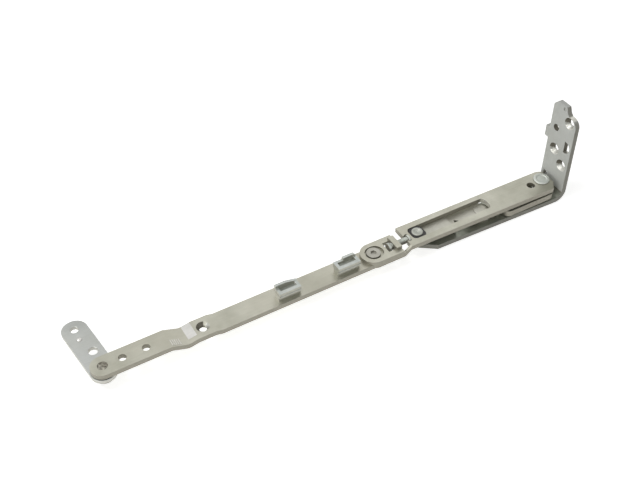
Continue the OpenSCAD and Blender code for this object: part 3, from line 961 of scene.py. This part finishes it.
@dataclass
class ScrewHoles:
    """Countersunk holes, with a painted highlight on the side that faces the light and painted shade on the
    other.

    The plain hole of the flange has painted shade all round.
    """

    finishes: Finishes
    flange_yz_mm: tuple[tuple[float, float], ...] = ((-7.25, 30.5), (-7.25, 70.5), (2.75, 40.5),
                                                    (-7.25, 48.4))
    pad_xy_mm: tuple[tuple[float, float], ...] = ((-296.9, -1.75),)
    plain_yz_mm: tuple[float, float] = (4.95, 59.5)
    plain_reach_mm: float = 3.5
    flange_lit_side: tuple[float, float, float] = (0.0, 0.5, 0.87)
    pad_lit_side: tuple[float, float, float] = (-0.7, 0.7, 0.0)
    reach_mm: float = 5.4
    flat_from: float = 0.97
    facing_from: float = 0.2

    def build(self, bracket: bpy.types.Object, bar: bpy.types.Object) -> None:
        """Give the holes of the flange and of the bar's pad their painted highlight and painted shade.

        Args:
            bracket: The finished bracket.
            bar: The finished bar.
        """
        self.paint(bracket, self.flange_yz_mm, 0, Vector(self.flange_lit_side))
        self.paint(bar, self.pad_xy_mm, 2, Vector(self.pad_lit_side))
        plain = Vector(self.plain_yz_mm)
        # Painted shade all round the plain hole
        paint_faces(bracket, self.finishes.bore_shade, lambda face: abs(face.normal.x) < self.facing_from
                    and (face.center.yz / MM - plain).length < self.plain_reach_mm)

    def paint(self, piece: bpy.types.Object, holes_mm: tuple[tuple[float, float], ...], axis: int,
              lit_side: Vector) -> None:
        """Give the two sides of some holes their painted highlight and painted shade.

        Args:
            piece: The piece with the holes.
            holes_mm: Where the holes are, in the two directions across their axis.
            axis: Direction of the holes' axis, 0 for X and 2 for Z.
            lit_side: Direction that the side with the painted highlight faces, across the axis.
        """
        across = [i for i in range(3) if i != axis]

        def facing(face: bpy.types.MeshPolygon) -> float:
            """Find how far a face inside a hole faces the lit side.

            Args:
                face: Face of the piece.

            Returns:
                Share of its normal on that side, or 0 for a face outside the holes.
            """
            place = Vector([face.center[i] for i in across]) / MM
            inside = any((place - Vector(hole)).length < self.reach_mm for hole in holes_mm)
            return face.normal.dot(lit_side) if inside and abs(face.normal[axis]) < self.flat_from else 0.0

        # Painted highlight on the lit side of each hole, painted shade on the other
        paint_faces(piece, self.finishes.painted_highlight, lambda face: facing(face) > self.facing_from)
        paint_faces(piece, self.finishes.bore_shade, lambda face: facing(face) < -self.facing_from)


@dataclass
class ShadeAndGlintFaces:
    """Painted shade on the leg's top and in its bend, under the head, and a painted highlight on the slot's
    end wall.
    """

    finishes: Finishes
    leg_top_mm: float = 4.0
    level_mm: float = 0.1
    bend_top_mm: float = 8.0
    bend_from: float = 0.05
    slot_end_x_mm: tuple[float, float] = (-62.0, -50.0)
    slot_end_from: float = 0.3

    def build(self, bracket: bpy.types.Object, head: bpy.types.Object) -> None:
        """Give these faces their painted shade and painted highlight.

        Args:
            bracket: The finished bracket.
            head: The finished arm head.
        """
        top, bend = self.leg_top_mm * MM, self.bend_top_mm * MM
        low, high = (edge * MM for edge in self.slot_end_x_mm)
        # Painted shade on the leg's top, under the head
        paint_faces(bracket, self.finishes.leg_and_bend_shade, lambda face: face.normal.z > SQUARE
                    and abs(face.center.z - top) < self.level_mm * MM)
        # Painted shade in the bend at the foot of the flange
        paint_faces(bracket, self.finishes.leg_and_bend_shade, lambda face: face.normal.z > self.bend_from
                    and face.normal.x < -self.bend_from and abs(face.normal.y) < self.bend_from
                    and top < face.center.z < bend)
        # Painted highlight on the slot's end wall
        paint_faces(head, self.finishes.painted_highlight, lambda face: low < face.center.x < high
                    and face.normal.x < -self.slot_end_from)


@dataclass
class CatchGrooves:
    """Groove round the front and ends of each catch, and a painted highlight on the left end of the left
    one.
    """

    finishes: Finishes
    rise_mm: float = 4.9
    width_mm: float = 0.8
    depth_mm: float = 0.5
    front_from: float = 0.3
    end_from: float = 0.7
    sharp_deg: float = 36.0

    def build(self, catches: tuple[bpy.types.Object, ...], bright: bpy.types.Object) -> None:
        """Cut the grooves and paint a highlight on one end.

        Args:
            catches: The finished catches.
            bright: The catch whose left end gets the painted highlight.
        """
        for catch in catches:
            self.cut(catch)
        # Painted highlight on the left end of the left catch
        paint_faces(bright, self.finishes.painted_highlight, lambda face: face.normal.x < -self.end_from)

    def cut(self, catch: bpy.types.Object) -> None:
        """Cut the groove into one catch.

        Args:
            catch: The finished catch.
        """
        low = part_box(catch.name.removesuffix("_plated"))[0].z + self.rise_mm * MM
        high = low + self.width_mm * MM
        with editing(catch):
            for level in (low, high):
                bpy.ops.mesh.select_all(action="SELECT")
                bpy.ops.mesh.bisect(plane_co=(0.0, 0.0, level), plane_no=(0.0, 0.0, 1.0))
        select_faces(catch, [face.index for face in catch.data.polygons if low < face.center.z < high
                             and (face.normal.y < -self.front_from or abs(face.normal.x) > self.end_from)])
        with editing(catch):
            bpy.ops.mesh.inset(thickness=0.0, depth=-self.depth_mm * MM)
        smooth(catch, self.sharp_deg)


@dataclass(frozen=True)
class Softbox:
    """A square lamp that points at the middle of the stay."""

    name: str
    place_m: tuple[float, float, float]
    size_m: float
    power_w: float


@dataclass
class Studio:
    """Pale floor, white surround, soft lamps and the camera."""

    floor_m: float = 12.0
    floor_drop_mm: float = 0.02
    floor_colour: str = "#f2f2f0"
    floor_glow: float = 0.7
    lens_mm: float = 56.07
    aim_mm: tuple[float, float, float] = (-184.4, 34.7, 11.5)
    camera_mm: tuple[float, float, float] = (-457.2, -427.8, 519.5)
    fill_strength: float = 0.25
    softboxes: tuple[Softbox, ...] = (
        Softbox("key softbox", (-0.9, 0.35, 1.5), 0.9, 10.0),
        Softbox("back softbox", (0.7, 1.1, 1.2), 1.0, 1.5),
        Softbox("left softbox", (-1.7, -0.4, 0.4), 0.8, 7.0),
    )

    def build(self) -> None:
        """Make the floor, the surround, the lamps and the camera."""
        bpy.context.scene.view_settings.view_transform = "Standard"
        self.floor()
        self.surround()
        for softbox in self.softboxes:
            self.lamp(softbox)
        self.camera()

    def floor(self) -> None:
        """Make the floor, white to the camera but for the shadow."""
        bpy.ops.object.select_all(action="DESELECT")
        bpy.ops.mesh.primitive_plane_add(size=self.floor_m, location=(0, 0, -self.floor_drop_mm * MM))
        floor = bpy.context.active_object
        floor.name = "studio_floor"
        material = new_material("pale floor")
        tree = material.node_tree
        matte = add_node(tree, "ShaderNodeBsdfDiffuse", {"Color": linear(self.floor_colour)}).outputs["BSDF"]
        glow = add_node(tree, "ShaderNodeEmission", {"Color": linear("#ffffff"),
                                                     "Strength": self.floor_glow}).outputs["Emission"]
        both = add_node(tree, "ShaderNodeAddShader", links={0: matte, 1: glow}).outputs["Shader"]
        path = add_node(tree, "ShaderNodeLightPath").outputs
        seen = either(tree, path["Is Camera Ray"], path["Is Glossy Ray"])
        surface = add_node(tree, "ShaderNodeMixShader", links={0: seen, 1: matte, 2: both}).outputs["Shader"]
        add_node(tree, "ShaderNodeOutputMaterial", links={"Surface": surface})
        floor.data.materials.append(material)

    def surround(self) -> None:
        """Make the surround, white where it is seen and softer where it lights."""
        world = bpy.data.worlds.new("white surround")
        bpy.context.scene.world = world
        world.use_nodes = True
        tree = world.node_tree
        tree.nodes.clear()
        path = add_node(tree, "ShaderNodeLightPath").outputs
        mirrored = either(tree, path["Is Glossy Ray"], path["Is Transmission Ray"])
        seen = either(tree, path["Is Camera Ray"], mirrored)
        strength = remap(tree, seen, target=(self.fill_strength, 1.0))
        light = add_node(tree, "ShaderNodeBackground", {"Color": linear("#ffffff")}, {"Strength": strength})
        add_node(tree, "ShaderNodeOutputWorld", links={"Surface": light.outputs["Background"]})

    def towards_stay(self, place: Vector) -> Euler:
        """Find how a lamp or a camera is turned to point at the middle of the stay.

        Args:
            place: Where it is, in metres.

        Returns:
            Its rotation.
        """
        return (Vector(self.aim_mm) * MM - place).to_track_quat("-Z", "Y").to_euler()

    def lamp(self, softbox: Softbox) -> None:
        """Hang one softbox.

        Args:
            softbox: The softbox.
        """
        data = bpy.data.lights.new(softbox.name, "AREA")
        data.size = softbox.size_m
        data.energy = softbox.power_w
        lamp = bpy.data.objects.new(softbox.name, data)
        lamp.location = softbox.place_m
        lamp.rotation_euler = self.towards_stay(Vector(softbox.place_m))
        bpy.context.scene.collection.objects.link(lamp)

    def camera(self) -> None:
        """Set the camera at the photograph's viewing angle."""
        data = bpy.data.cameras.new("camera")
        data.lens = self.lens_mm
        camera = bpy.data.objects.new("camera", data)
        camera.location = Vector(self.camera_mm) * MM
        camera.rotation_euler = self.towards_stay(camera.location)
        bpy.context.scene.collection.objects.link(camera)
        bpy.context.scene.camera = camera


def main() -> None:
    """Build and dress the stay, piece by piece, in its studio."""
    logging.basicConfig(level=logging.INFO, format="%(name)s: %(message)s")
    finishes = Finishes()
    dressed = {}
    for assembly in (CornerBracket(finishes), SupportLever(finishes), ArmHead(finishes), ArmBar(finishes),
                     SwivelEnd(finishes)):
        for piece in assembly.build():
            dressed[piece.node] = piece.dress()
    PressMarks(finishes).build(dressed["arm_bar"])
    ScrewHoles(finishes).build(dressed["corner_bracket"], dressed["arm_bar"])
    ShadeAndGlintFaces(finishes).build(dressed["corner_bracket"], dressed["arm_head"])
    CatchGrooves(finishes).build((dressed["catch_left"], dressed["catch_right"]), dressed["catch_left"])
    AdjustingScrew(finishes).build()
    Studio().build()


if __name__ == "__main__":
    main()
